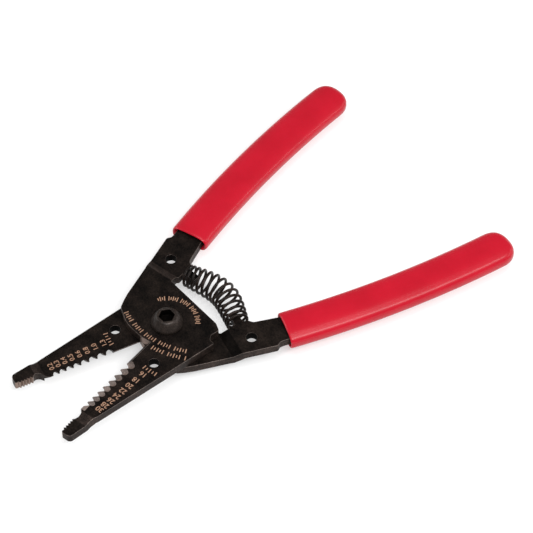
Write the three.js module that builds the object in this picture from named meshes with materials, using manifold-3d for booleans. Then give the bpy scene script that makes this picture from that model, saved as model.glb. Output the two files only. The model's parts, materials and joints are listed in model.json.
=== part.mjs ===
// Spring-opened wire stripper: two identical stamped steel arms that cross at one pivot,
// a button-head pivot screw with its nut, a bent coil spring and two dipped vinyl grips.
//
// Frame, millimetres: the pivot axis is +Z through the origin, the jaws point to -Y and the
// handles to +Y. z = 0 is the flat end of the pivot screw, the lowest point of the tool.
// An arm is drawn closed: its jaw lies on +X, its handle on -X, its blade on the upper side
// of the shear plane. The rear arm is the same blank turned over about Y.
import * as THREE from "three";
import { mergeVertices } from "three/addons/utils/BufferGeometryUtils.js";
import Module from "manifold-3d";

const wasm = await Module();
wasm.setup();

// ---- Driving dimensions ----
const STEEL = 3.2; // thickness of the stamped blank
const RUNNING_GAP = 0.12; // between the two blades
const CONTACT_GAP = 0.05; // between stacked pieces at the pivot
const HALF_OPEN = THREE.MathUtils.degToRad(12.7); // each arm from closed, at rest
const NOSE_REACH = 56.7; // pivot to the tip of the nose
const GRIP_END = 124.4; // pivot to the end of the grip
const GRIP_MOUTH = 35.6; // pivot to the open end of the grip

// Joggles that bring nose and handle to mid height
const JOGGLE_RUN = 3.3;
const NOSE_JOGGLE = -46.4;
const HANDLE_JOGGLE = 15.0;

// Stripping edge
const EDGE_X = -1.0; // blades pass the centre line by this much when closed
const NOTCH_COUNT = 8;
const NOTCH_START = -20.4;
const NOTCH_PITCH = 3.4; // of the largest notch
const NOTCH_PITCH_STEP = 0.145; // each notch is this much narrower than the one before
const NOTCH_BOTTOM = 0.55; // x of the largest notch's bottom at the shear plane
const NOTCH_BOTTOM_STEP = 0.06;
const TIP_FLAT = 0.45; // steel left between two notches
const EDGE_LAND = 0.3; // unground height at the edge
const STRIP_BEVEL = 2.0; // x where the ground bevel meets the face
const CUTTER_BEVEL = 1.0;
const CUTTER_TOP = -10.2;
const TIP_END = -44.6; // last tooth
const STRIP_END = -46.2; // end of the ground bevel

// Nose
const NOSE_INNER = 0.1;
const WAIST_INNER = 1.5;
const SERRATIONS = 5;
const SERRATION_START = -50.5;
const SERRATION_PITCH = 1.1;
const SERRATION_DEPTH = 0.7;

// Handle and grip: the centre line bows outwards as x = BOW_X + BOW * (y - BOW_Y)^2
const BOW_X = -21.9;
const BOW_Y = 82;
const BOW = 0.00125;
const TANG_HALF = 5.0;
const TANG_START = 37;
const TANG_END = 114;
const GRIP_HALF = 7.2;
const GRIP_THICK = 7.2;
const GRIP_ROUND = 3.0;
const GRIP_POCKET_GAP = 0.3;
const GRIP_END_POWER = 2.4; // squareness of the rounded end, 2 is an ellipse

// Pivot
const SCREW_R = 3.9;
const HOLE_CLEARANCE = 0.1;
const HEAD_R = 5.6;
const HEAD_RIM = 0.5;
const HEAD_DOME = 1.7; // fullness of the dome, 1 is a cone
const HEAD_HEIGHT = 3.9;
const SOCKET_FLATS = 4.9;
const SOCKET_RIM = 0.35; // flat ring outside the socket's corners
const SOCKET_DEPTH = 2.6;
const NUT_FLATS = 12.0;
const NUT_HEIGHT = 3.2;
const NUT_CHAMFER = 0.6; // height, at each corner
const NUT_CHAMFER_RUN = 0.96;
const SCREW_CHAMFER = 0.5;
const SCREW_PROUD = 0.3; // screw end below the nut

// Holes
const LOOP_HOLE = { x: 7.6, y: -16.3, r: 1.9 };
const HANDLE_HOLE = { x: -17.7, y: 23.7, r: 2.0 };

// Return spring
const WIRE_R = 0.5;
const COIL_END_R = 3.6; // to the wire's centre
const COIL_MID_R = 4.6;
const SPRING_TURNS = 14;
const END_CROWDING = 1.0; // how much closer the end turns lie
const CROWDING_POWER = 7; // odd; higher keeps the crowding nearer the ends
const PRONG_Y = 22.6;
const SHOULDER_X = -10.2;
const PRONG_LENGTH = 5.2;
const PRONG_HALF = 1.6;
const PRONG_TAPER = 0.35;
const SPRING_RISE = THREE.MathUtils.degToRad(22);
const SEAT_GAP = 0.35; // wire to the handle's shoulder
const SPRING_REACH = 15.0; // handle length of the centre line's curve

// Fineness
const CIRCLE_SIDES = 40;
const NOTCH_SIDES = 20;
const SMALL_HOLE_SIDES = 28;
const HANDLE_STEPS = 8;
const FILLET_STEP = THREE.MathUtils.degToRad(15);
const NEARLY_STRAIGHT = 3.1; // radians; a corner flatter than this keeps no fillet
const WELD = 1e-5;
const CUT_OVER = 1; // a cutter runs this far past the face it cuts

const SHEAR_Z = SCREW_PROUD + NUT_HEIGHT + 2 * CONTACT_GAP + STEEL + RUNNING_GAP / 2;
const BLADE_MID = RUNNING_GAP / 2 + STEEL / 2;

// ---- Solids ----
function solid(geometry) {
  geometry.deleteAttribute("normal");
  geometry.deleteAttribute("uv");
  const merged = mergeVertices(geometry, WELD);
  const mesh = new wasm.Mesh({
    numProp: 3,
    vertProperties: new Float32Array(merged.attributes.position.array),
    triVerts: new Uint32Array(merged.index.array),
  });
  return new wasm.Manifold(mesh);
}

function toGeometry(body) {
  const mesh = body.getMesh();
  const geometry = new THREE.BufferGeometry();
  geometry.setAttribute("position", new THREE.BufferAttribute(mesh.vertProperties, 3));
  geometry.setIndex(new THREE.BufferAttribute(mesh.triVerts, 1));
  geometry.computeVertexNormals();
  return geometry;
}

// A shape through [x, y, fillet] corners, each fillet drawn as an arc.
function filletedShape(corners) {
  const outline = [];
  corners.forEach(([x, y, fillet = 0], i) => {
    const corner = new THREE.Vector2(x, y);
    const before = corners[(i + corners.length - 1) % corners.length];
    const after = corners[(i + 1) % corners.length];
    const toBefore = new THREE.Vector2(before[0] - x, before[1] - y).normalize();
    const toAfter = new THREE.Vector2(after[0] - x, after[1] - y).normalize();
    const inside = Math.acos(THREE.MathUtils.clamp(toBefore.dot(toAfter), -1, 1));
    if (fillet === 0 || inside > NEARLY_STRAIGHT) {
      outline.push(corner);
      return;
    }
    const bisector = toBefore.clone().add(toAfter).normalize();
    const centre = corner.clone().addScaledVector(bisector, fillet / Math.sin(inside / 2));
    const tangent = fillet / Math.tan(inside / 2);
    const start = corner.clone().addScaledVector(toBefore, tangent).sub(centre).angle();
    const end = corner.clone().addScaledVector(toAfter, tangent).sub(centre).angle();
    const turn = THREE.MathUtils.euclideanModulo(end - start + Math.PI, 2 * Math.PI) - Math.PI;
    const steps = Math.max(1, Math.ceil(Math.abs(turn) / FILLET_STEP));
    for (let k = 0; k <= steps; k += 1) {
      const angle = start + (turn * k) / steps;
      outline.push(new THREE.Vector2(Math.cos(angle), Math.sin(angle)).multiplyScalar(fillet).add(centre));
    }
  });
  return new THREE.Shape(outline);
}

function prism(shape, z0, z1) {
  const geometry = new THREE.ExtrudeGeometry(shape, { depth: z1 - z0, bevelEnabled: false });
  return solid(geometry.translate(0, 0, z0));
}

function drill(x, y, r, z0, z1, sides = CIRCLE_SIDES) {
  const geometry = new THREE.CylinderGeometry(r, r, z1 - z0, sides);
  return solid(geometry.rotateX(Math.PI / 2).translate(x, y, (z0 + z1) / 2));
}

// A prism whose outline is drawn in (y, z) and which runs along x.
function sideProfile(points, x0, x1) {
  const shape = new THREE.Shape(points.map(([y, z]) => new THREE.Vector2(y, z)));
  const geometry = new THREE.ExtrudeGeometry(shape, { depth: x1 - x0, bevelEnabled: false });
  const turn = new THREE.Matrix4().makeBasis(
    new THREE.Vector3(0, 1, 0),
    new THREE.Vector3(0, 0, 1),
    new THREE.Vector3(1, 0, 0),
  );
  return solid(geometry.applyMatrix4(turn).translate(x0, 0, 0));
}

// A prism whose outline is drawn in (x, z) and which runs along y.
function endProfile(points, y0, y1) {
  const shape = new THREE.Shape(points.map(([x, z]) => new THREE.Vector2(x, -z)));
  const geometry = new THREE.ExtrudeGeometry(shape, { depth: y1 - y0, bevelEnabled: false });
  return solid(geometry.rotateX(-Math.PI / 2).translate(0, y0, 0));
}

function bowX(y) {
  return BOW_X + BOW * (y - BOW_Y) ** 2;
}

// The point at a distance square across from the bowed centre line, positive inwards.
function bowPoint(y, across) {
  const slope = 2 * BOW * (y - BOW_Y);
  const side = new THREE.Vector2(1, -slope).normalize();
  return side.multiplyScalar(across).add(new THREE.Vector2(bowX(y), y));
}

// ---- Steel arm, closed, blade above z = 0 ----
function serratedNose() {
  const teeth = [];
  for (let k = 0; k < SERRATIONS; k += 1) {
    const y = SERRATION_START - k * SERRATION_PITCH;
    teeth.push([NOSE_INNER, y, 0]);
    teeth.push([NOSE_INNER + SERRATION_DEPTH, y - SERRATION_PITCH / 2, 0]);
  }
  return teeth;
}

function handleSide(side, from, to) {
  const edge = [];
  for (let k = 0; k <= HANDLE_STEPS; k += 1) {
    const y = from + ((to - from) * k) / HANDLE_STEPS;
    edge.push([...bowPoint(y, side * TANG_HALF).toArray(), 0]);
  }
  return edge;
}

function armShape() {
  return filletedShape([
    // crotch, shear cutter and stripping edge, towards the nose
    [-3.3, -10.2, 1.5],
    [EDGE_X, -11.4, 1.2],
    [EDGE_X, TIP_END, 0.7],
    [-0.1, -45.8, 1.0],
    [WAIST_INNER, -47.1, 1.2],
    [WAIST_INNER, -48.8, 1.2],
    [NOSE_INNER + SERRATION_DEPTH, -49.9, 0.2],
    // serrated nose and rounded tip
    ...serratedNose(),
    [NOSE_INNER + 0.2, -NOSE_REACH, 0.6],
    [4.3, -NOSE_REACH, 1.5],
    [6.0, -48.0, 3],
    // outer edge of the jaw up to the shoulder of the plate
    [7.1, -45.4, 4],
    [15.5, -9.9, 12],
    [18.5, 2.8, 0.5],
    // stop notch and rounded stop corner
    [16.4, 3.2, 0.9],
    [15.4, 5.0, 1.2],
    [16.3, 8.3, 0.9],
    [13.6, 10.1, 1.0],
    // back edge of the plate, then up the inner side of the handle
    [-10.5, 15.1, 0.8],
    [-10.9, 18.4, 0.3],
    [SHOULDER_X, 18.8, 0.4],
    [SHOULDER_X, PRONG_Y - PRONG_HALF, 0],
    [SHOULDER_X + PRONG_LENGTH, PRONG_Y - PRONG_HALF + PRONG_TAPER, 0.4],
    [SHOULDER_X + PRONG_LENGTH, PRONG_Y + PRONG_HALF - PRONG_TAPER, 0.4],
    [SHOULDER_X, PRONG_Y + PRONG_HALF, 0],
    [SHOULDER_X, 25.6, 0.4],
    [-12.0, 27.2, 2],
    ...handleSide(1, TANG_START, TANG_END),
    ...handleSide(-1, TANG_END, TANG_START),
    // outer side of the handle, down to the plate
    [-23.95, 33.2, 0],
    [-23.95, 31.6, 0.8],
    [-25.0, 30.3, 1.2],
    [-22.6, 17.8, 8],
    [-21.5, 14.8, 12],
    [-18.6, -0.2, 20],
    [-17.0, -4.5, 0.8],
    [-11.8, -8.3, 12],
    [-7.9, -9.5, 8],
  ]);
}

// The joggled strip's upper or lower line: the middle line set off by d, mitred at its bends.
function joggledLine(d) {
  const slope = Math.atan2(BLADE_MID, JOGGLE_RUN);
  const shift = d * Math.tan(slope / 2);
  return [
    [-NOSE_REACH - CUT_OVER, d],
    [NOSE_JOGGLE - JOGGLE_RUN - shift, d],
    [NOSE_JOGGLE - shift, BLADE_MID + d],
    [HANDLE_JOGGLE + shift, BLADE_MID + d],
    [HANDLE_JOGGLE + JOGGLE_RUN + shift, d],
    [GRIP_END, d],
  ];
}

function notchCutter(k) {
  const pitch = NOTCH_PITCH - k * NOTCH_PITCH_STEP;
  const before = k * NOTCH_PITCH - (NOTCH_PITCH_STEP * k * (k - 1)) / 2;
  const y = NOTCH_START - before - pitch / 2;
  const r = (pitch - TIP_FLAT) / 2;
  const lean = Math.atan2(STEEL, STRIP_BEVEL - EDGE_X);
  const bottom = NOTCH_BOTTOM - k * NOTCH_BOTTOM_STEP;
  const length = 6 * STEEL;
  const bar = new THREE.CylinderGeometry(r, r, length, NOTCH_SIDES).rotateZ(lean - Math.PI / 2);
  return solid(bar.rotateX(Math.PI / 2).translate(bottom - r / Math.sin(lean), y, RUNNING_GAP / 2));
}

function bevelCutter(faceX, y0, y1) {
  const face = RUNNING_GAP / 2 + STEEL;
  const land = RUNNING_GAP / 2 + EDGE_LAND;
  const rise = (face - land) / (faceX - EDGE_X);
  const over = 2;
  const wedge = [
    [EDGE_X - over, land - rise * over],
    [faceX + over, face + rise * over],
    [EDGE_X - over, face + rise * over],
  ];
  return endProfile(wedge, y0, y1);
}

function makeArm() {
  const reach = 40;
  const strip = sideProfile([...joggledLine(-STEEL / 2), ...joggledLine(STEEL / 2).reverse()], -reach, reach);
  let arm = prism(armShape(), -2 * STEEL, 2 * STEEL).intersect(strip);
  arm = arm.subtract(bevelCutter(STRIP_BEVEL, STRIP_END, NOTCH_START));
  arm = arm.subtract(bevelCutter(CUTTER_BEVEL, NOTCH_START, CUTTER_TOP));
  for (let k = 0; k < NOTCH_COUNT; k += 1) {
    arm = arm.subtract(notchCutter(k));
  }
  const through = 2 * STEEL;
  arm = arm.subtract(drill(0, 0, SCREW_R + HOLE_CLEARANCE, -through, through));
  for (const hole of [LOOP_HOLE, HANDLE_HOLE]) {
    arm = arm.subtract(drill(hole.x, hole.y, hole.r, -through, through, SMALL_HOLE_SIDES));
  }
  return arm;
}

// ---- Grip: a rounded bar along the bowed handle with a pocket for the tang ----
function gripShape(inset) {
  const half = GRIP_HALF - inset;
  const end = GRIP_END - inset;
  const mouth = GRIP_MOUTH - 3 * CUT_OVER;
  const shoulder = GRIP_END - GRIP_HALF;
  const outline = [];
  const sideSteps = 10;
  for (let k = 0; k < sideSteps; k += 1) {
    const y = mouth + ((shoulder - mouth) * k) / sideSteps;
    outline.push(bowPoint(y, half));
  }
  const endSteps = 16;
  for (let k = 0; k <= endSteps; k += 1) {
    const angle = (Math.PI * k) / endSteps;
    const across = Math.sign(Math.cos(angle)) * Math.abs(Math.cos(angle)) ** (2 / GRIP_END_POWER);
    const along = Math.sin(angle) ** (2 / GRIP_END_POWER);
    const y = shoulder + (end - shoulder) * along;
    outline.push(bowPoint(y, half * across));
  }
  for (let k = sideSteps - 1; k >= 0; k -= 1) {
    const y = mouth + ((shoulder - mouth) * k) / sideSteps;
    outline.push(bowPoint(y, -half));
  }
  return new THREE.Shape(outline);
}

function pocketShape() {
  const wide = TANG_HALF + GRIP_POCKET_GAP;
  const end = TANG_END + GRIP_POCKET_GAP;
  const start = GRIP_MOUTH - 4 * CUT_OVER;
  const outline = [];
  const steps = 10;
  for (const side of [1, -1]) {
    for (let k = 0; k <= steps; k += 1) {
      const t = side > 0 ? k / steps : 1 - k / steps;
      const y = start + (end - start) * t;
      outline.push(bowPoint(y, side * wide));
    }
  }
  return new THREE.Shape(outline);
}

function makeGrip() {
  const core = GRIP_THICK - 2 * GRIP_ROUND;
  const bar = new THREE.ExtrudeGeometry(gripShape(GRIP_ROUND), {
    depth: core,
    bevelEnabled: true,
    bevelThickness: GRIP_ROUND,
    bevelSize: GRIP_ROUND,
    bevelSegments: 4,
  });
  const pocketHalf = STEEL / 2 + GRIP_POCKET_GAP;
  const reach = 60;
  const mouthLine = [bowPoint(GRIP_MOUTH, reach), bowPoint(GRIP_MOUTH, -reach)];
  const beyond = [new THREE.Vector2(-reach, -reach), new THREE.Vector2(reach, -reach)];
  const belowMouth = prism(new THREE.Shape([...mouthLine, ...beyond]), -reach, reach);
  return solid(bar.translate(0, 0, -core / 2))
    .subtract(belowMouth)
    .subtract(prism(pocketShape(), -pocketHalf, pocketHalf));
}

// ---- Pivot screw and nut ----
function hexagon(flats) {
  const outline = [];
  for (let k = 0; k < 6; k += 1) {
    const angle = (Math.PI * k) / 3;
    outline.push(new THREE.Vector2(Math.cos(angle), Math.sin(angle)).multiplyScalar(flats / Math.sqrt(3)));
  }
  return new THREE.Shape(outline);
}

function turned(profile, sides = CIRCLE_SIDES) {
  const points = profile.map(([r, z]) => new THREE.Vector2(r, z));
  return solid(new THREE.LatheGeometry(points, sides).rotateX(Math.PI / 2));
}

function makeScrew() {
  const headZ = SHEAR_Z + RUNNING_GAP / 2 + STEEL + CONTACT_GAP;
  const top = headZ + HEAD_HEIGHT;
  const flatR = SOCKET_FLATS / Math.sqrt(3) + SOCKET_RIM;
  const dome = [];
  const domeSteps = 6;
  for (let k = 0; k <= domeSteps; k += 1) {
    const t = k / domeSteps;
    dome.push([
      HEAD_R - (HEAD_R - flatR) * t,
      headZ + HEAD_RIM + (HEAD_HEIGHT - HEAD_RIM) * (1 - (1 - t) ** HEAD_DOME),
    ]);
  }
  const body = turned([
    [0, 0],
    [SCREW_R - SCREW_CHAMFER, 0],
    [SCREW_R, SCREW_CHAMFER],
    [SCREW_R, headZ],
    [HEAD_R, headZ],
    ...dome,
    [0, top],
  ]);
  return body.subtract(prism(hexagon(SOCKET_FLATS), top - SOCKET_DEPTH, top + CUT_OVER));
}

function makeNut() {
  const z0 = SCREW_PROUD;
  const z1 = z0 + NUT_HEIGHT;
  const corner = NUT_FLATS / Math.sqrt(3);
  const outside = corner + CUT_OVER / 10;
  const rounded = turned([
    [0, z0],
    [corner - NUT_CHAMFER_RUN, z0],
    [outside, z0 + NUT_CHAMFER],
    [outside, z1 - NUT_CHAMFER],
    [corner - NUT_CHAMFER_RUN, z1],
    [0, z1],
  ]);
  return prism(hexagon(NUT_FLATS), z0, z1)
    .intersect(rounded)
    .subtract(drill(0, 0, SCREW_R + HOLE_CLEARANCE, z0 - CUT_OVER, z1 + CUT_OVER));
}

// ---- Return spring: a barrel coil along a line that bows over the pivot, at rest ----
class CoilPath extends THREE.Curve {
  constructor(centreLine) {
    super();
    this.centreLine = centreLine;
  }

  getPoint(u, target = new THREE.Vector3()) {
    const crowd = ((2 * u - 1) ** CROWDING_POWER + 1) / (2 * CROWDING_POWER);
    const even = (1 - END_CROWDING / CROWDING_POWER) * u;
    const turns = SPRING_TURNS * (even + END_CROWDING * crowd);
    const angle = 2 * Math.PI * turns;
    const bulge = Math.sin(Math.PI * u);
    const r = COIL_END_R + (COIL_MID_R - COIL_END_R) * bulge;
    const centre = this.centreLine.getPointAt(u);
    const along = this.centreLine.getTangentAt(u);
    const side = new THREE.Vector3(-along.y, along.x, 0);
    target.copy(centre).addScaledVector(side, r * Math.cos(angle));
    target.z += r * Math.sin(angle);
    return target;
  }
}

function makeSpring() {
  const seat = new THREE.Vector3(SHOULDER_X + WIRE_R + SEAT_GAP, PRONG_Y, 0);
  seat.applyAxisAngle(new THREE.Vector3(0, 0, 1), HALF_OPEN);
  seat.z = SHEAR_Z;
  const rise = new THREE.Vector3(SPRING_REACH, 0, 0);
  rise.applyAxisAngle(new THREE.Vector3(0, 0, 1), SPRING_RISE);
  const mirrored = (v) => new THREE.Vector3(-v.x, v.y, v.z);
  const lead = seat.clone().add(rise);
  const centreLine = new THREE.CubicBezierCurve3(seat, lead, mirrored(lead), mirrored(seat));
  const ring = [];
  const wireSides = 6;
  for (let k = 0; k < wireSides; k += 1) {
    const angle = (2 * Math.PI * k) / wireSides;
    ring.push(new THREE.Vector2(Math.cos(angle), Math.sin(angle)).multiplyScalar(WIRE_R));
  }
  const stepsPerTurn = 14;
  return new THREE.ExtrudeGeometry(new THREE.Shape(ring), {
    steps: Math.round(SPRING_TURNS * stepsPerTurn),
    bevelEnabled: false,
    extrudePath: new CoilPath(centreLine),
  });
}

// ---- Materials ----
function finish(color, roughness, metalness) {
  return new THREE.MeshStandardMaterial({ color, roughness, metalness });
}

const tool = new THREE.Group();

function addPiece(parent, name, geometry, material) {
  const mesh = new THREE.Mesh(geometry, material);
  mesh.name = name;
  parent.add(mesh);
}

// ---- Assembly ----
const front = new THREE.Group();
front.position.z = SHEAR_Z;
front.rotation.z = HALF_OPEN;
tool.add(front);

const rear = new THREE.Group();
rear.position.z = SHEAR_Z;
rear.rotation.z = -HALF_OPEN;
tool.add(rear);

const turnedOver = new THREE.Group();
turnedOver.rotation.y = Math.PI;
rear.add(turnedOver);

const arm = makeArm();
const grip = makeGrip();
addPiece(front, "front_arm", toGeometry(arm), finish(0x231e1c, 0.5, 0.7));
addPiece(turnedOver, "rear_arm", toGeometry(arm), finish(0x231e1c, 0.5, 0.7));
addPiece(front, "front_grip", toGeometry(grip), finish(0xcd1a30, 0.4, 0));
addPiece(turnedOver, "rear_grip", toGeometry(grip), finish(0xcd1a30, 0.4, 0));
addPiece(tool, "pivot_screw", toGeometry(makeScrew()), finish(0x2b2624, 0.45, 0.8));
addPiece(tool, "pivot_nut", toGeometry(makeNut()), finish(0x2b2624, 0.45, 0.8));
addPiece(tool, "return_spring", makeSpring(), finish(0x2a211d, 0.35, 0.9));

export default tool;
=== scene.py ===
"""Looks of a spring-opened wire stripper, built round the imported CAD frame. Sizes are in metres."""

import json
import math

import bmesh
import bpy
from mathutils import Matrix, Vector


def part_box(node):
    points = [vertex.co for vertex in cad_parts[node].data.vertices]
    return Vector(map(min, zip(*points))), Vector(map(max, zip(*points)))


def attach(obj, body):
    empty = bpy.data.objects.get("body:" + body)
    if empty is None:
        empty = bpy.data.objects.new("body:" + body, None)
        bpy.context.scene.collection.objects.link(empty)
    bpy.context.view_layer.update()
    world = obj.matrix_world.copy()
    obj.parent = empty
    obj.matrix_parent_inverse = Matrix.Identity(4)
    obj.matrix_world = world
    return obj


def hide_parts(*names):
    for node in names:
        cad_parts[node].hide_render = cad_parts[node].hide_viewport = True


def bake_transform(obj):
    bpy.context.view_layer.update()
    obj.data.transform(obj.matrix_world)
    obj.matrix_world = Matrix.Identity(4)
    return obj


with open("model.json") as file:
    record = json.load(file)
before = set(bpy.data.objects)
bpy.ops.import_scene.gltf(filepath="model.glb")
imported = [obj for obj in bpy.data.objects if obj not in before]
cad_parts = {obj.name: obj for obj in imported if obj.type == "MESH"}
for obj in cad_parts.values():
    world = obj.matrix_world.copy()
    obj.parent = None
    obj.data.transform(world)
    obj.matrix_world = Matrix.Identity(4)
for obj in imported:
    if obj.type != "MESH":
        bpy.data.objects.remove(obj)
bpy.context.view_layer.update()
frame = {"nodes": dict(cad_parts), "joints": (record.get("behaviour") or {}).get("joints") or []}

MM = 0.001

# ---- The frame's own places ----
PIVOT = Vector(frame["joints"][0]["pos_m"])
SHEAR_Z = PIVOT.z
HALF_OPEN = math.radians(12.7)
RUNNING_GAP = 0.12 * MM
STEEL = 3.2 * MM

# An arm's blank is drawn closed: jaw on +X, handle on -X, blade above the shear plane.
FRONT = Matrix.Translation((0, 0, SHEAR_Z)) @ Matrix.Rotation(HALF_OPEN, 4, "Z")
REAR = Matrix.Translation((0, 0, SHEAR_Z)) @ Matrix.Rotation(-HALF_OPEN, 4, "Z")
TURNED_OVER = Matrix.Rotation(math.pi, 4, "Y")


# ---- Materials ----
class Shader:
    """A node material with one principled shader, and short ways to feed it."""

    def __init__(self, name):
        self.material = bpy.data.materials.new(name)
        self.material.use_nodes = True
        self.tree = self.material.node_tree
        self.shader = self.tree.nodes["Principled BSDF"]
        self.place = self.add("ShaderNodeTexCoord").outputs["Object"]

    def add(self, kind, **settings):
        """A new node; each setting is one of its own fields or, failing that, one of its sockets."""
        node = self.tree.nodes.new(kind)
        for key, value in settings.items():
            if hasattr(node, key):
                setattr(node, key, value)
            else:
                node.inputs[key.replace("_", " ")].default_value = value
        return node

    def link(self, output, target):
        self.tree.links.new(output, target)

    def noise(self, scale, detail, roughness, stretch=None):
        node = self.add("ShaderNodeTexNoise", Scale=scale, Detail=detail, Roughness=roughness)
        if stretch is None:
            self.link(self.place, node.inputs["Vector"])
        else:
            mapping = self.add("ShaderNodeMapping")
            mapping.inputs["Scale"].default_value = stretch
            self.link(self.place, mapping.inputs["Vector"])
            self.link(mapping.outputs["Vector"], node.inputs["Vector"])
        return node.outputs["Fac"]

    def ramp(self, factor, stops):
        node = self.add("ShaderNodeValToRGB")
        elements = node.color_ramp.elements
        while len(elements) < len(stops):
            elements.new(0.5)
        for element, (position, color) in zip(elements, stops):
            element.position = position
            element.color = (*color, 1)
        self.link(factor, node.inputs["Fac"])
        return node.outputs["Color"]

    def spread(self, factor, low, high):
        node = self.add("ShaderNodeMapRange")
        node.inputs["To Min"].default_value = low
        node.inputs["To Max"].default_value = high
        self.link(factor, node.inputs["Value"])
        return node.outputs["Result"]

    def mixed(self, first, second, share):
        node = self.add("ShaderNodeMix", data_type="FLOAT")
        node.inputs[0].default_value = share
        self.link(first, node.inputs[2])
        self.link(second, node.inputs[3])
        return node.outputs[0]

    def bump(self, height, strength, distance):
        node = self.add("ShaderNodeBump", Strength=strength, Distance=distance)
        self.link(height, node.inputs["Height"])
        self.link(node.outputs["Normal"], self.shader.inputs["Normal"])

    def fixed(self, **values):
        for key, value in values.items():
            self.shader.inputs[key.replace("_", " ")].default_value = value

    def vary(self, socket, output):
        self.link(output, self.shader.inputs[socket])


SPECK_GAIN = 2.2  # how much brighter than the light tone the brightest specks are


def oxide_steel(name, dark, light, roughness, sheen, pits):
    """Black-oxide steel: cloudy, speckled dark brown tone, fine pitting, uneven satin gloss."""
    m = Shader(name)
    clouds = m.noise(scale=170, detail=5, roughness=0.65)
    speckles = m.noise(scale=2300, detail=3, roughness=0.7)
    brightest = tuple(SPECK_GAIN * channel for channel in light)
    tones = [(0.40, dark), (0.52, light), (0.64, brightest)]
    m.vary("Base Color", m.ramp(m.mixed(clouds, speckles, share=0.5), tones))
    gloss = m.noise(scale=520, detail=3, roughness=0.6)
    m.vary("Roughness", m.spread(gloss, low=roughness - 0.09, high=roughness + 0.11))
    m.fixed(Metallic=0.3, Specular_IOR_Level=sheen)
    m.bump(m.noise(scale=2600, detail=3, roughness=0.7), strength=pits, distance=0.03 * MM)
    return m.material


def ground_steel(name, dark, light):
    """Freshly ground facet: fine scratches across the edge under a thin brown oxide."""
    m = Shader(name)
    scratches = m.noise(scale=900, detail=3, roughness=0.7, stretch=(0.25, 4.0, 0.4))
    m.vary("Base Color", m.ramp(scratches, [(0.3, dark), (0.7, light)]))
    m.vary("Roughness", m.spread(scratches, low=0.36, high=0.56))
    m.fixed(Metallic=0.55)
    m.bump(scratches, strength=0.35, distance=0.03 * MM)
    return m.material


def dipped_vinyl(name, dark, light):
    """Semi-gloss vinyl with the faint orange peel and clouding of a dipped skin."""
    m = Shader(name)
    clouds = m.noise(scale=70, detail=4, roughness=0.55)
    m.vary("Base Color", m.ramp(clouds, [(0.3, dark), (0.7, light)]))
    gloss = m.noise(scale=260, detail=3, roughness=0.5)
    m.vary("Roughness", m.spread(gloss, low=0.36, high=0.46))
    m.fixed(Specular_IOR_Level=0.12)
    m.fixed(Coat_Weight=0.55, Coat_Roughness=0.25, Coat_IOR=1.4)
    m.fixed(Subsurface_Weight=0.04, Subsurface_Scale=1.5 * MM, Subsurface_Radius=(1.0, 0.25, 0.18))
    peel = m.noise(scale=420, detail=2, roughness=0.5)
    m.bump(peel, strength=0.22, distance=0.05 * MM)
    return m.material


def etched_mark(name, dark, light):
    """Laser-etched mark, slightly broken in tone."""
    m = Shader(name)
    tone = m.noise(scale=1500, detail=3, roughness=0.7)
    m.vary("Base Color", m.ramp(tone, [(0.3, dark), (0.7, light)]))
    gloss = m.noise(scale=1900, detail=2, roughness=0.6)
    m.vary("Roughness", m.spread(gloss, low=0.5, high=0.7))
    m.fixed(Metallic=0.15)
    m.bump(m.noise(scale=3000, detail=2, roughness=0.6), strength=0.2, distance=0.02 * MM)
    return m.material


def studio_paper(name, dark, light):
    """White ground that gives part of its light itself, so that shadows on it stay faint."""
    m = Shader(name)
    tone = m.noise(scale=6, detail=2, roughness=0.5)
    m.vary("Base Color", m.ramp(tone, [(0.0, dark), (1.0, light)]))
    m.fixed(Roughness=0.9, Specular_IOR_Level=0.2)
    m.fixed(Emission_Color=(1, 1, 1, 1), Emission_Strength=0.45)
    return m.material


STEEL_FACE = oxide_steel(
    "black_oxide_face", (0.0012, 0.0009, 0.0008), (0.0100, 0.0070, 0.0056),
    roughness=0.42, sheen=0.09, pits=0.5,
)
STEEL_EDGE = oxide_steel(
    "black_oxide_edge", (0.040, 0.030, 0.026), (0.085, 0.064, 0.055),
    roughness=0.38, sheen=0.4, pits=0.15,
)
# Lighter copy of the face steel for upright sides and most bends: painted light
PAINTED_LIGHT_SIDE_STEEL = oxide_steel(
    "painted_light_side_steel", (0.008, 0.0057, 0.0048), (0.027, 0.0188, 0.0156),
    roughness=0.46, sheen=0.1, pits=0.3,
)
NOTCH_STEEL = oxide_steel(
    "notch_wall", (0.100, 0.074, 0.063), (0.180, 0.135, 0.116),
    roughness=0.40, sheen=0.4, pits=0.2,
)
# Darker copy of the face steel for the rear arm's handle bend: painted shade
SHADED_BEND_STEEL = oxide_steel(
    "painted_shade_bend_steel", (0.0008, 0.0006, 0.0005), (0.0038, 0.0028, 0.0023),
    roughness=0.5, sheen=0.04, pits=0.4,
)
# Near-black steel for the screw's socket and the arms' hole walls: painted shade in the recesses
RECESS_SHADE_STEEL = oxide_steel(
    "painted_shade_recess_steel", (0.0006, 0.0005, 0.0004), (0.0020, 0.0015, 0.0012),
    roughness=0.6, sheen=0.02, pits=0.2,
)
SCREW_STEEL = oxide_steel(
    "screw_oxide", (0.010, 0.0073, 0.0061), (0.025, 0.0182, 0.0151),
    roughness=0.34, sheen=0.24, pits=0.2,
)
WIRE_STEEL = oxide_steel(
    "spring_wire", (0.004, 0.0026, 0.0021), (0.016, 0.0100, 0.0078),
    roughness=0.36, sheen=0.17, pits=0.12,
)
GROUND_STEEL = ground_steel("ground_facet", (0.14, 0.092, 0.072), (0.30, 0.215, 0.175))
VINYL = dipped_vinyl("red_dipped_vinyl", (0.405, 0.0012, 0.0125), (0.480, 0.0030, 0.0175))
MARK = etched_mark("etched_mark", (0.23, 0.12, 0.07), (0.44, 0.26, 0.17))
PAPER = studio_paper("studio_floor", (0.53, 0.53, 0.53), (0.56, 0.56, 0.56))


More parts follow.
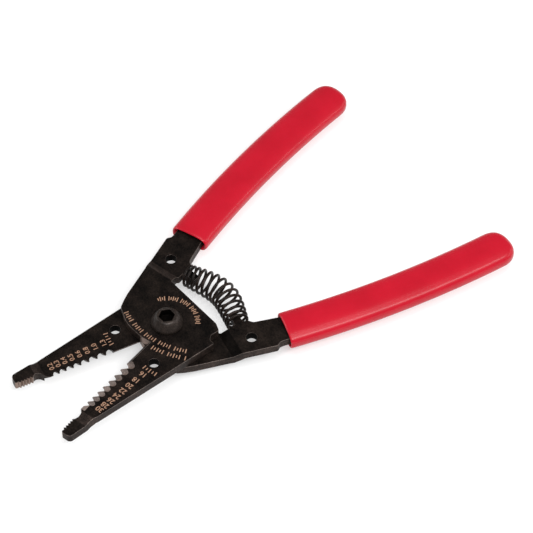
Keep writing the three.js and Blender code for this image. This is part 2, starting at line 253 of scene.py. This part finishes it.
# ---- Mesh helpers ----
def new_piece(name, mesh, body, node=None):
    """A piece that rides on a body, if one is given, and stands for a CAD node, if one is named."""
    piece = bpy.data.objects.new(name, mesh)
    bpy.context.scene.collection.objects.link(piece)
    if body is not None:
        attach(piece, body)
    if node is not None:
        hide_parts(node)
    return piece


def smooth(mesh, sharp_deg):
    """Smooth shading that stays sharp at edges turning by more than the angle."""
    mesh.polygons.foreach_set("use_smooth", [True] * len(mesh.polygons))
    mesh.set_sharp_from_angle(angle=math.radians(sharp_deg))


def lofted(name, rings, material, wrap=False):
    """A closed skin through rings of equally many points, capped at its ends or wrapped into a loop."""
    bm = bmesh.new()
    rows = [[bm.verts.new(p) for p in ring] for ring in rings]
    pairs = list(zip(rows, rows[1:]))
    if wrap:
        pairs.append((rows[-1], rows[0]))
    for low, high in pairs:
        for i in range(len(low)):
            j = (i + 1) % len(low)
            bm.faces.new((low[i], low[j], high[j], high[i]))
    if not wrap:
        bm.faces.new(list(reversed(rows[0])))
        bm.faces.new(rows[-1])
    bmesh.ops.recalc_face_normals(bm, faces=bm.faces)
    mesh = bpy.data.meshes.new(name)
    bm.to_mesh(mesh)
    bm.free()
    mesh.materials.append(material)
    return mesh


def superellipse(half_x, half_z, power, count):
    points = []
    for i in range(count):
        a = 2 * math.pi * i / count
        c, s = math.cos(a), math.sin(a)
        x = half_x * math.copysign(abs(c) ** (2 / power), c)
        z = half_z * math.copysign(abs(s) ** (2 / power), s)
        points.append((x, z))
    return points


def turned_ring(radius_at, z, count, phase=0.0):
    """A level ring round the pivot axis, whose radius may change with the angle."""
    ring = []
    for i in range(count):
        a = 2 * math.pi * i / count
        r = radius_at(a + phase)
        ring.append(Vector((r * math.cos(a), r * math.sin(a), z)))
    return ring


def hex_radius(flats, angle):
    sector = (angle + math.pi / 6) % (math.pi / 3) - math.pi / 6
    return flats / 2 / math.cos(sector)


def between(value, limits):
    return limits[0] < value < limits[1]


# ---- Steel arms: the frame's own blank with broken edges and ground facets ----
FACE, EDGE, GROUND, LIT_SIDE, NOTCH, HOLE_SHADE, BEND_SHADE = range(7)
ARM_FINISHES_AND_SHADING = (
    STEEL_FACE, STEEL_EDGE, GROUND_STEEL, PAINTED_LIGHT_SIDE_STEEL, NOTCH_STEEL, RECESS_SHADE_STEEL, SHADED_BEND_STEEL,
)

# Places on the blank; the two arms meet along x = 0
HOLES = ((7.6 * MM, -16.3 * MM), (-17.7 * MM, 23.7 * MM))
HOLE_WALL_R = 2.3 * MM
BLADE_Y = (-46.4 * MM, -20.2 * MM)
BLADE_FACET_X, BLADE_EDGE_X = 2.5 * MM, 4.5 * MM
WAIST_Y = -43.8 * MM
CROTCH_X, CROTCH_Y = (-3.6 * MM, 1.5 * MM), (-12.2 * MM, -9.9 * MM)
NOSE_FACET_X, NOSE_FACET_Y = 1.1 * MM, -49.9 * MM
NOSE_EDGE_X, NOSE_EDGE_Y = 2.2 * MM, -49.5 * MM

# How a face slopes, told by the parts of its unit normal
LEVEL, UPRIGHT = 0.97, 0.4
GRIND_SLOPE, GRIND_STRAY = (0.4, 0.9), 0.2

WELD = 2e-6
FLAT_ANGLE = math.radians(1.0)
CUT_EDGE_ANGLE = math.radians(32)
EDGE_WIDTH, EDGE_STEPS = 0.13 * MM, 3
FINE_EDGE = 0.35
ARM_SHARP_DEG = 24


def at_hole(spot):
    return any(math.hypot(spot.x - x, spot.y - y) < HOLE_WALL_R for x, y in HOLES)


def face_finish(centre, normal, notch_wall, bends):
    """Which finish, painted light or painted shade a face of the blank takes, by where it lies and how
    it slopes: upright sides take a lighter copy of the steel as painted light, and hole walls and the
    rear arm's handle bend take darker copies as painted shade.
    """
    if abs(normal.z) > LEVEL:
        return FACE
    # Hole walls take the near-black steel: painted shade
    if at_hole(centre):
        return HOLE_SHADE
    notched = between(centre.y, BLADE_Y) and centre.x < BLADE_FACET_X
    blade = notched and between(normal.z, GRIND_SLOPE) and abs(normal.y) < GRIND_STRAY
    crotch = between(centre.y, CROTCH_Y) and between(centre.x, CROTCH_X)
    nose = centre.y < NOSE_FACET_Y and centre.x < NOSE_FACET_X
    if blade or crotch or nose:
        return GROUND
    if notched and centre.y > WAIST_Y:
        return notch_wall
    # Upright sides take the lighter steel: painted light
    if abs(normal.z) < UPRIGHT:
        return LIT_SIDE
    # Bend faces take the steel given for them: the lighter side steel as painted light, or the darker
    # bend steel as painted shade
    nose_bend, handle_bend = bends
    return nose_bend if centre.y < 0 else handle_bend


def edge_break(middle):
    """Share of the full edge width: small at the notches, the holes and the nose's teeth."""
    notches = between(middle.y, BLADE_Y) and middle.x < BLADE_EDGE_X
    teeth = middle.y < NOSE_EDGE_Y and middle.x < NOSE_EDGE_X
    return FINE_EDGE if notches or teeth or at_hole(middle) else 1.0


def make_arm(node, body, name, to_frame, notch_wall, bends):
    bm = bmesh.new()
    bm.from_mesh(frame["nodes"][node].data)
    bmesh.ops.remove_doubles(bm, verts=bm.verts, dist=WELD)
    bmesh.ops.dissolve_limit(bm, angle_limit=FLAT_ANGLE, verts=bm.verts, edges=bm.edges)
    to_blank = to_frame.inverted()
    turn = to_blank.to_3x3()
    bm.normal_update()
    for face in bm.faces:
        centre = to_blank @ face.calc_center_median()
        face.material_index = face_finish(centre, turn @ face.normal, notch_wall, bends)
    weight = bm.edges.layers.float.new("bevel_weight_edge")
    for edge in bm.edges:
        if edge.is_manifold and edge.calc_face_angle() > CUT_EDGE_ANGLE:
            middle = (edge.verts[0].co + edge.verts[1].co) / 2
            edge[weight] = edge_break(to_blank @ middle)
    mesh = bpy.data.meshes.new(name)
    bm.to_mesh(mesh)
    bm.free()
    for material in ARM_FINISHES_AND_SHADING:
        mesh.materials.append(material)
    piece = new_piece(name, mesh, body, node)
    smooth(mesh, ARM_SHARP_DEG)
    bevel = piece.modifiers.new("broken_edges", "BEVEL")
    bevel.width = EDGE_WIDTH
    bevel.segments = EDGE_STEPS
    bevel.limit_method = "WEIGHT"
    bevel.use_clamp_overlap = False
    bevel.harden_normals = True
    bevel.material = EDGE


# ---- Grips ----
BOW_X, BOW_Y, BOW = -21.9 * MM, 82 * MM, 1.25
GRIP_HALF, GRIP_THICK_HALF = 7.2 * MM, 3.6 * MM
GRIP_MOUTH, GRIP_END = 35.6 * MM, 124.4 * MM
GRIP_SQUARENESS = 2.65
POCKET_HALF, POCKET_THICK_HALF = 5.3 * MM, 1.9 * MM
POCKET_END, POCKET_SQUARENESS = 114.3 * MM, 12
LIP_DEPTH = 4 * MM
GRIP_SIDES, POCKET_STEPS, SLEEVE_STEPS, END_STEPS = 72, 8, 28, 18
GRIP_SHARP_DEG = 60

# Rolled lip, from the pocket to the outside: distance past the mouth, half width and half
# thickness in millimetres, and squareness
LIP = (
    (1.4, 5.5, 2.05, 8),
    (0.7, 5.9, 2.35, 5),
    (0.2, 6.3, 2.75, 4),
    (0.0, 6.65, 3.05, 3.4),
    (0.15, 6.95, 3.32, 3.0),
    (0.6, 7.12, 3.5, 2.8),
    (1.6, 7.2, 3.58, GRIP_SQUARENESS),
    (3.0, 7.2, 3.6, GRIP_SQUARENESS),
)

# Rounded end: it narrows along its whole length and thins over the last part only
NARROW_POWER, THIN_POWER = 2.4, 2.2
THIN_START = 0.5
TIP_SHARE = 0.02
END_SOFTENING = 0.4


def bow_x(y):
    return BOW_X + BOW * (y - BOW_Y) ** 2


def rounding(share, power):
    """What is left of a half section at this share of a rounded end."""
    return max(max(1 - share**power, 0) ** (1 / power), TIP_SHARE)


def grip_rings(to_frame):
    """Rings square to the bowed axis: out of the pocket, round the lip, and along to the end."""
    rings = []

    def ring(y, half_x, half_z, power):
        centre = Vector((bow_x(y), y, 0))
        side = Vector((1, -2 * BOW * (y - BOW_Y), 0)).normalized()
        section = superellipse(half_x, half_z, power, GRIP_SIDES)
        rings.append([to_frame @ (centre + side * x + Vector((0, 0, z))) for x, z in section])

    pocket_length = POCKET_END - GRIP_MOUTH - LIP_DEPTH
    for k in range(POCKET_STEPS + 1):
        y = POCKET_END - pocket_length * k / POCKET_STEPS
        ring(y, POCKET_HALF, POCKET_THICK_HALF, POCKET_SQUARENESS)
    for past_mouth, half_x, half_z, power in LIP:
        ring(GRIP_MOUTH + past_mouth * MM, half_x * MM, half_z * MM, power)
    start = GRIP_MOUTH + LIP[-1][0] * MM
    shoulder = GRIP_END - GRIP_HALF
    for k in range(1, SLEEVE_STEPS + 1):
        y = start + (shoulder - start) * k / SLEEVE_STEPS
        ring(y, GRIP_HALF, GRIP_THICK_HALF, GRIP_SQUARENESS)
    for k in range(1, END_STEPS + 1):
        along = math.sin(0.5 * math.pi * k / END_STEPS)
        thinned = max(0.0, (along - THIN_START) / (1 - THIN_START))
        half_x = GRIP_HALF * rounding(along, NARROW_POWER)
        half_z = GRIP_THICK_HALF * rounding(thinned, THIN_POWER)
        y = shoulder + (GRIP_END - shoulder) * along
        ring(y, half_x, half_z, GRIP_SQUARENESS - END_SOFTENING * thinned)
    return rings


def make_grip(node, body, name, to_frame):
    mesh = lofted(name, grip_rings(to_frame), VINYL)
    smooth(mesh, GRIP_SHARP_DEG)
    new_piece(name, mesh, body, node)


# ---- Pivot screw and nut ----
SHANK_R, SHANK_TOP_GAP = 3.9 * MM, 0.1 * MM
THREAD_START, THREAD_STEP, THREAD_DEPTH, THREAD_RINGS = 0.8 * MM, 0.35 * MM, 0.28 * MM, 9
THREAD_END = 4.2 * MM
HEAD_R, HEAD_HEIGHT, HEAD_RIM = 5.6 * MM, 3.9 * MM, 0.5 * MM
DOME_FULLNESS, DOME_STEPS = 1.7, 14
SOCKET_FLATS, SOCKET_DEPTH, SOCKET_RIM = 4.9 * MM, 2.6 * MM, 0.35 * MM
RIM_BREAK, RIM_DROP = 0.08 * MM, 0.02 * MM
MOUTH_BREAK, MOUTH_DEPTH = 0.12 * MM, 0.3 * MM
DRILL_SHARE, DRILL_STEP = 0.42, 0.15 * MM
DRILL_TIP_R, DRILL_DEPTH = 0.3 * MM, 0.7 * MM
SHADE_INSET = 0.15 * MM  # the socket's dark faces start this far inside its rim
SCREW_SIDES, SCREW_SHARP_DEG = 96, 32

# Radius and height in millimetres, of the screw's rounded lower end and of the head's lower edge
SCREW_END = ((0.2, 0), (3.35, 0), (3.6, 0.08), (3.82, 0.32), (3.9, 0.55))
HEAD_EDGE = ((5.4, 0.0), (5.54, 0.08), (5.6, 0.2), (5.6, 0.45))

NUT_FLATS, NUT_BORE_R, BORE_CHAMFER = 12.0 * MM, 4.0 * MM, 0.35 * MM
NUT_CHAMFER, NUT_CHAMFER_RUN = 0.6 * MM, 0.96 * MM
NUT_CHAMFER_SHARES = (0, 0.12, 0.25, 0.5, 0.75, 1.0)
NUT_SIDES, NUT_SHARP_DEG = 120, 28


def screw_rings(lo, hi, head_z, mouth_r):
    """Rings from the screw's lower end up the thread, over the head and down into the socket."""
    rings = []

    def round_ring(r, z):
        rings.append(turned_ring(lambda a: r, z, SCREW_SIDES))

    def hex_ring(flats, z):
        rings.append(turned_ring(lambda a: hex_radius(flats, a), z, SCREW_SIDES, math.pi / 6))

    for r, z in SCREW_END:
        round_ring(r * MM, lo.z + z * MM)
    for k in range(THREAD_RINGS):
        groove = THREAD_DEPTH if k % 2 else 0
        round_ring(SHANK_R - groove, lo.z + THREAD_START + THREAD_STEP * k)
    round_ring(SHANK_R, lo.z + THREAD_END)
    round_ring(SHANK_R, head_z - SHANK_TOP_GAP)
    for r, z in HEAD_EDGE:
        round_ring(r * MM, head_z + z * MM)
    for k in range(1, DOME_STEPS + 1):
        t = k / DOME_STEPS
        rise = (HEAD_HEIGHT - HEAD_RIM) * (1 - (1 - t) ** DOME_FULLNESS)
        round_ring(HEAD_R - (HEAD_R - mouth_r) * t, head_z + HEAD_RIM + rise)
    floor_z = hi.z - SOCKET_DEPTH
    round_ring(mouth_r - RIM_BREAK, hi.z - RIM_DROP)
    hex_ring(SOCKET_FLATS + MOUTH_BREAK, hi.z - MOUTH_BREAK)
    hex_ring(SOCKET_FLATS, hi.z - MOUTH_DEPTH)
    hex_ring(SOCKET_FLATS, floor_z)
    round_ring(SOCKET_FLATS * DRILL_SHARE, floor_z - DRILL_STEP)
    round_ring(DRILL_TIP_R, floor_z - DRILL_DEPTH)
    return rings


def make_screw():
    lo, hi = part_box("pivot_screw")
    head_z = hi.z - HEAD_HEIGHT
    mouth_r = SOCKET_FLATS / math.sqrt(3) + SOCKET_RIM
    mesh = lofted("pivot_screw_steel", screw_rings(lo, hi, head_z, mouth_r), SCREW_STEEL)
    # The faces inside the socket take the near-black steel: painted shade
    mesh.materials.append(RECESS_SHADE_STEEL)
    for polygon in mesh.polygons:
        centre = polygon.center
        in_painted_shade = math.hypot(centre.x, centre.y) < mouth_r - SHADE_INSET
        polygon.material_index = int(in_painted_shade and head_z < centre.z < hi.z - SHADE_INSET)
    smooth(mesh, SCREW_SHARP_DEG)
    new_piece("pivot_screw_steel", mesh, "rear", "pivot_screw")


def make_nut():
    lo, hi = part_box("pivot_nut")
    corner_r = NUT_FLATS / math.sqrt(3)
    rings = []

    def bore_ring(r, z):
        rings.append(turned_ring(lambda a: r, z, NUT_SIDES))

    def outer_ring(limit, z):
        rings.append(turned_ring(lambda a: min(hex_radius(NUT_FLATS, a), limit), z, NUT_SIDES))

    chamfer = []
    for share in NUT_CHAMFER_SHARES:
        chamfer.append((corner_r - NUT_CHAMFER_RUN * (1 - share), NUT_CHAMFER * share))
    bore_ring(NUT_BORE_R, lo.z + BORE_CHAMFER)
    bore_ring(NUT_BORE_R + BORE_CHAMFER, lo.z)
    for limit, depth in chamfer:
        outer_ring(limit, lo.z + depth)
    for limit, depth in reversed(chamfer):
        outer_ring(limit, hi.z - depth)
    bore_ring(NUT_BORE_R + BORE_CHAMFER, hi.z)
    bore_ring(NUT_BORE_R, hi.z - BORE_CHAMFER)
    mesh = lofted("pivot_nut_steel", rings, SCREW_STEEL, wrap=True)
    smooth(mesh, NUT_SHARP_DEG)
    new_piece("pivot_nut_steel", mesh, "rear", "pivot_nut")


# ---- Return spring ----
SEAT_MM = Vector((-9.35, 22.6, 0))  # the coil's end on the blank's prong
SPRING_RISE, SPRING_REACH = math.radians(22), 15.0 * MM
SPRING_TURNS, END_CROWDING, CROWDING_POWER = 14, 1.0, 7
COIL_END_R, COIL_MID_R, WIRE_R = 3.6 * MM, 4.6 * MM, 0.5 * MM
LINE_STEPS, WIRE_STEPS, WIRE_SIDES = 400, 540, 12
NEARLY_ZERO = 1e-12
WIRE_SHARP_DEG = 60


def bezier(a, b, c, d, t):
    s = 1 - t
    return a * s**3 + b * (3 * s * s * t) + c * (3 * s * t * t) + d * t**3


def spring_line():
    """A function that gives the point and direction at any share of the coil's bowed centre line."""
    seat = Matrix.Rotation(HALF_OPEN, 3, "Z") @ SEAT_MM * MM
    lead = seat + Vector((math.cos(SPRING_RISE), math.sin(SPRING_RISE), 0)) * SPRING_REACH
    mirror = Matrix.Scale(-1, 3, (1, 0, 0))
    points = []
    for k in range(LINE_STEPS + 1):
        points.append(bezier(seat, lead, mirror @ lead, mirror @ seat, k / LINE_STEPS))
    lengths = [0.0]
    for a, b in zip(points, points[1:]):
        lengths.append(lengths[-1] + (b - a).length)

    def at(share):
        target = share * lengths[-1]
        k = next(i for i in range(1, len(lengths)) if lengths[i] >= target - NEARLY_ZERO)
        t = (target - lengths[k - 1]) / (lengths[k] - lengths[k - 1])
        along = (points[k] - points[k - 1]).normalized()
        return points[k - 1].lerp(points[k], t), along

    return at


def coil_path():
    """The wire's centre line, as pairs of a point and its direction away from the coil's axis."""
    line = spring_line()
    path = []
    for k in range(WIRE_STEPS + 1):
        u = k / WIRE_STEPS
        even = (1 - END_CROWDING / CROWDING_POWER) * u
        crowded = ((2 * u - 1) ** CROWDING_POWER + 1) / (2 * CROWDING_POWER)
        angle = 2 * math.pi * SPRING_TURNS * (even + END_CROWDING * crowded)
        r = COIL_END_R + (COIL_MID_R - COIL_END_R) * math.sin(math.pi * u)
        centre, along = line(u)
        side = Vector((-along.y, along.x, 0))
        out = side * math.cos(angle) + Vector((0, 0, 1)) * math.sin(angle)
        path.append((centre + out * r + Vector((0, 0, SHEAR_Z)), out))
    return path


def make_spring():
    path = coil_path()
    rings = []
    for k, (point, out) in enumerate(path):
        ahead = (path[min(k + 1, WIRE_STEPS)][0] - path[max(k - 1, 0)][0]).normalized()
        normal = (out - ahead * out.dot(ahead)).normalized()
        binormal = ahead.cross(normal)
        ring = []
        for i in range(WIRE_SIDES):
            a = 2 * math.pi * i / WIRE_SIDES
            ring.append(point + (normal * math.cos(a) + binormal * math.sin(a)) * WIRE_R)
        rings.append(ring)
    mesh = lofted("return_spring_wire", rings, WIRE_STEEL)
    smooth(mesh, WIRE_SHARP_DEG)
    piece = new_piece("return_spring_wire", mesh, None, "return_spring")
    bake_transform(piece)


# ---- Etched scale: gauge numbers beside the notches and plain hatch bands ----
MARK_PROUD, MARK_DEEP = 0.015 * MM, 0.04 * MM
NOTCH_START, NOTCH_PITCH, NOTCH_PITCH_STEP, NOTCHES = -20.4 * MM, 3.4 * MM, 0.145 * MM, 8
STROKE_SWELL, CURVE_STEPS, NUMBER_DROP = 0.03 * MM, 3, 0.2 * MM
BAR_WIDTH, BAR_GROUP, SHORT_BAR = 0.34 * MM, 6, 0.62


def add_text(bm, text, size, place):
    curve = bpy.data.curves.new("scale_text", "FONT")
    curve.body = text
    curve.size = size
    curve.align_x = "CENTER"
    curve.align_y = "CENTER"
    curve.resolution_u = CURVE_STEPS
    curve.offset = STROKE_SWELL
    curve.extrude = (MARK_PROUD + MARK_DEEP) / 2
    text_object = bpy.data.objects.new("scale_text", curve)
    bpy.context.scene.collection.objects.link(text_object)
    bpy.context.view_layer.update()
    depsgraph = bpy.context.evaluated_depsgraph_get()
    mesh = bpy.data.meshes.new_from_object(text_object.evaluated_get(depsgraph))
    bpy.data.objects.remove(text_object)
    mesh.transform(place)
    bm.from_mesh(mesh)
    bpy.data.meshes.remove(mesh)


def add_bar(bm, length, place):
    x, y = BAR_WIDTH / 2, length / 2
    z = (MARK_PROUD + MARK_DEEP) / 2
    outline = ((-x, -y), (x, -y), (x, y), (-x, y))
    verts = [bm.verts.new(place @ Vector((i, j, k))) for k in (-z, z) for i, j in outline]
    sides = [(3, 2, 1, 0), (4, 5, 6, 7), (0, 1, 5, 4), (1, 2, 6, 5), (2, 3, 7, 6), (3, 0, 4, 7)]
    for side in sides:
        bm.faces.new([verts[i] for i in side])


def hatch_band(x, y, radius, start, end, bars, length):
    """A band's centre, radius and bar length, given in millimetres, and its span in degrees."""
    return {
        "centre": (x * MM, y * MM),
        "radius": radius * MM,
        "start": start,
        "end": end,
        "bars": bars,
        "length": length * MM,
    }


def hatch_arc(bm, base, centre, radius, start, end, bars, length):
    """Bars along an arc, in groups, so that the band reads as a plain etched border."""
    for k in range(bars):
        if k % BAR_GROUP == BAR_GROUP - 1:
            continue
        a = math.radians(start + (end - start) * k / (bars - 1))
        spot = (centre[0] + radius * math.cos(a), centre[1] + radius * math.sin(a), 0)
        place = base @ Matrix.Translation(spot) @ Matrix.Rotation(a - math.pi / 2, 4, "Z")
        add_bar(bm, length * (SHORT_BAR if k % 2 else 1.0), place)


def notch_y(k):
    """The middle of a notch; each notch takes a little less of the edge than the one before."""
    pitch = NOTCH_PITCH - k * NOTCH_PITCH_STEP
    before = k * NOTCH_PITCH - NOTCH_PITCH_STEP * k * (k - 1) / 2
    return NOTCH_START - before - pitch / 2


def make_marks(name, body, arm, face_z, numbers, column, size, bands):
    """Numbers in a column beside the notches, read with the nose upwards, and the hatch bands."""
    bm = bmesh.new()
    level = face_z + (MARK_PROUD - MARK_DEEP) / 2
    base = arm @ Matrix.Translation((0, 0, level))
    upright = Matrix.Rotation(math.pi, 4, "Z")
    first_x, last_x = column
    for k, text in enumerate(numbers):
        x = first_x + (last_x - first_x) * k / (NOTCHES - 1)
        place = Matrix.Translation((x, notch_y(k) - NUMBER_DROP, 0))
        add_text(bm, text, size, base @ place @ upright)
    for band in bands:
        hatch_arc(bm, base, **band)
    mesh = bpy.data.meshes.new(name)
    bm.to_mesh(mesh)
    bm.free()
    mesh.materials.append(MARK)
    new_piece(name, mesh, body)


def make_all_marks():
    blade = RUNNING_GAP / 2
    handle_arc = hatch_band(0, 0, radius=10.6, start=36, end=146, bars=28, length=1.9)
    jaw_arc = hatch_band(0, 22, radius=30.6, start=243, end=297, bars=30, length=1.8)
    second_jaw_arc = hatch_band(0, 22, radius=33.6, start=275, end=296, bars=13, length=1.8)
    front_unit = hatch_band(8.6, 4, radius=23.8, start=264, end=276, bars=5, length=1.7)
    rear_unit = hatch_band(-4.9, 4, radius=24.2, start=264, end=276, bars=5, length=1.7)
    wire_gauges = [str(gauge) for gauge in range(16, 32, 2)]
    wire_sizes = ["1.3", "1.0", "0.8", "0.6", "0.5", "0.4", "0.3", "0.2"]
    make_marks(
        "front_scale", "front", FRONT, face_z=blade + STEEL, numbers=wire_gauges,
        column=(7.8 * MM, 5.6 * MM), size=2.75 * MM,
        bands=[handle_arc, jaw_arc, second_jaw_arc, front_unit],
    )
    make_marks(
        "rear_scale", "rear", REAR, face_z=-blade, numbers=wire_sizes,
        column=(-4.1 * MM, -2.9 * MM), size=2.5 * MM, bands=[rear_unit],
    )


# ---- Studio ----
FLOOR_REACH, FLOOR_DROP = 3.0, 0.02 * MM
LIT_SPOT = (0, 0.03, 0)
SKY_STRENGTH = 0.34


def make_floor():
    r = FLOOR_REACH
    mesh = bpy.data.meshes.new("studio_floor")
    mesh.from_pydata([(-r, -r, 0), (r, -r, 0), (r, r, 0), (-r, r, 0)], [], [(0, 1, 2, 3)])
    mesh.materials.append(PAPER)
    floor = bpy.data.objects.new("studio_floor", mesh)
    bpy.context.scene.collection.objects.link(floor)
    floor.location.z = -FLOOR_DROP


def area_light(name, place, size, power):
    light = bpy.data.lights.new(name, "AREA")
    light.shape = "RECTANGLE"
    light.size, light.size_y = size
    light.energy = power
    holder = bpy.data.objects.new(name, light)
    bpy.context.scene.collection.objects.link(holder)
    holder.location = place
    towards = Vector(LIT_SPOT) - Vector(place)
    holder.rotation_euler = towards.to_track_quat("-Z", "Y").to_euler()


def make_lights():
    world = bpy.data.worlds.new("studio")
    bpy.context.scene.world = world
    world.use_nodes = True
    background = world.node_tree.nodes["Background"]
    background.inputs["Color"].default_value = (1, 1, 1, 1)
    background.inputs["Strength"].default_value = SKY_STRENGTH
    area_light("overhead", place=(0.25, -0.1, 1.1), size=(0.9, 0.9), power=7.8)
    area_light("right_strip", place=(0.62, -0.02, 0.86), size=(1.2, 0.10), power=7.5)
    area_light("left_fill", place=(-0.75, -0.35, 0.45), size=(0.6, 0.4), power=2.4)
    area_light("right_edge", place=(0.55, 0.85, 0.35), size=(0.7, 0.2), power=1.8)


def make_camera():
    """A long lens at azimuth 50.9 and elevation 50.8 degrees, aimed a little off the pivot."""
    azimuth, elevation, roll = 0.88804, 0.88619, -0.00381
    along, sideways, upwards = 966.56 * MM, 34.247 * MM, 21.311 * MM
    back = Vector((
        math.sin(azimuth) * math.cos(elevation),
        -math.cos(azimuth) * math.cos(elevation),
        math.sin(elevation),
    ))
    right = Matrix.Rotation(roll, 3, back) @ Vector((math.cos(azimuth), math.sin(azimuth), 0))
    up = back.cross(right)
    data = bpy.data.cameras.new("camera")
    data.sensor_width = 36
    data.lens = 189.1182
    data.clip_start, data.clip_end = 0.01, 20
    camera = bpy.data.objects.new("camera", data)
    bpy.context.scene.collection.objects.link(camera)
    turn = Matrix((right, up, back)).transposed().to_4x4()
    place = PIVOT + right * sideways + up * upwards + back * along
    camera.matrix_world = Matrix.Translation(place) @ turn
    bpy.context.scene.camera = camera
    bpy.context.scene.view_settings.view_transform = "Standard"


make_camera()
make_lights()
make_floor()
# The front arm's bends take the lighter side steel as painted light
make_arm("front_arm", "front", "front_arm_steel", FRONT, NOTCH, (LIT_SIDE, LIT_SIDE))
# The rear arm's notch walls and nose bend take the lighter side steel as painted light; its handle bend
# takes painted shade
make_arm("rear_arm", "rear", "rear_arm_steel", REAR @ TURNED_OVER, LIT_SIDE, (LIT_SIDE, BEND_SHADE))
make_grip("front_grip", "front", "front_grip_vinyl", FRONT)
make_grip("rear_grip", "rear", "rear_grip_vinyl", REAR @ TURNED_OVER)
make_screw()
make_nut()
make_spring()
make_all_marks()
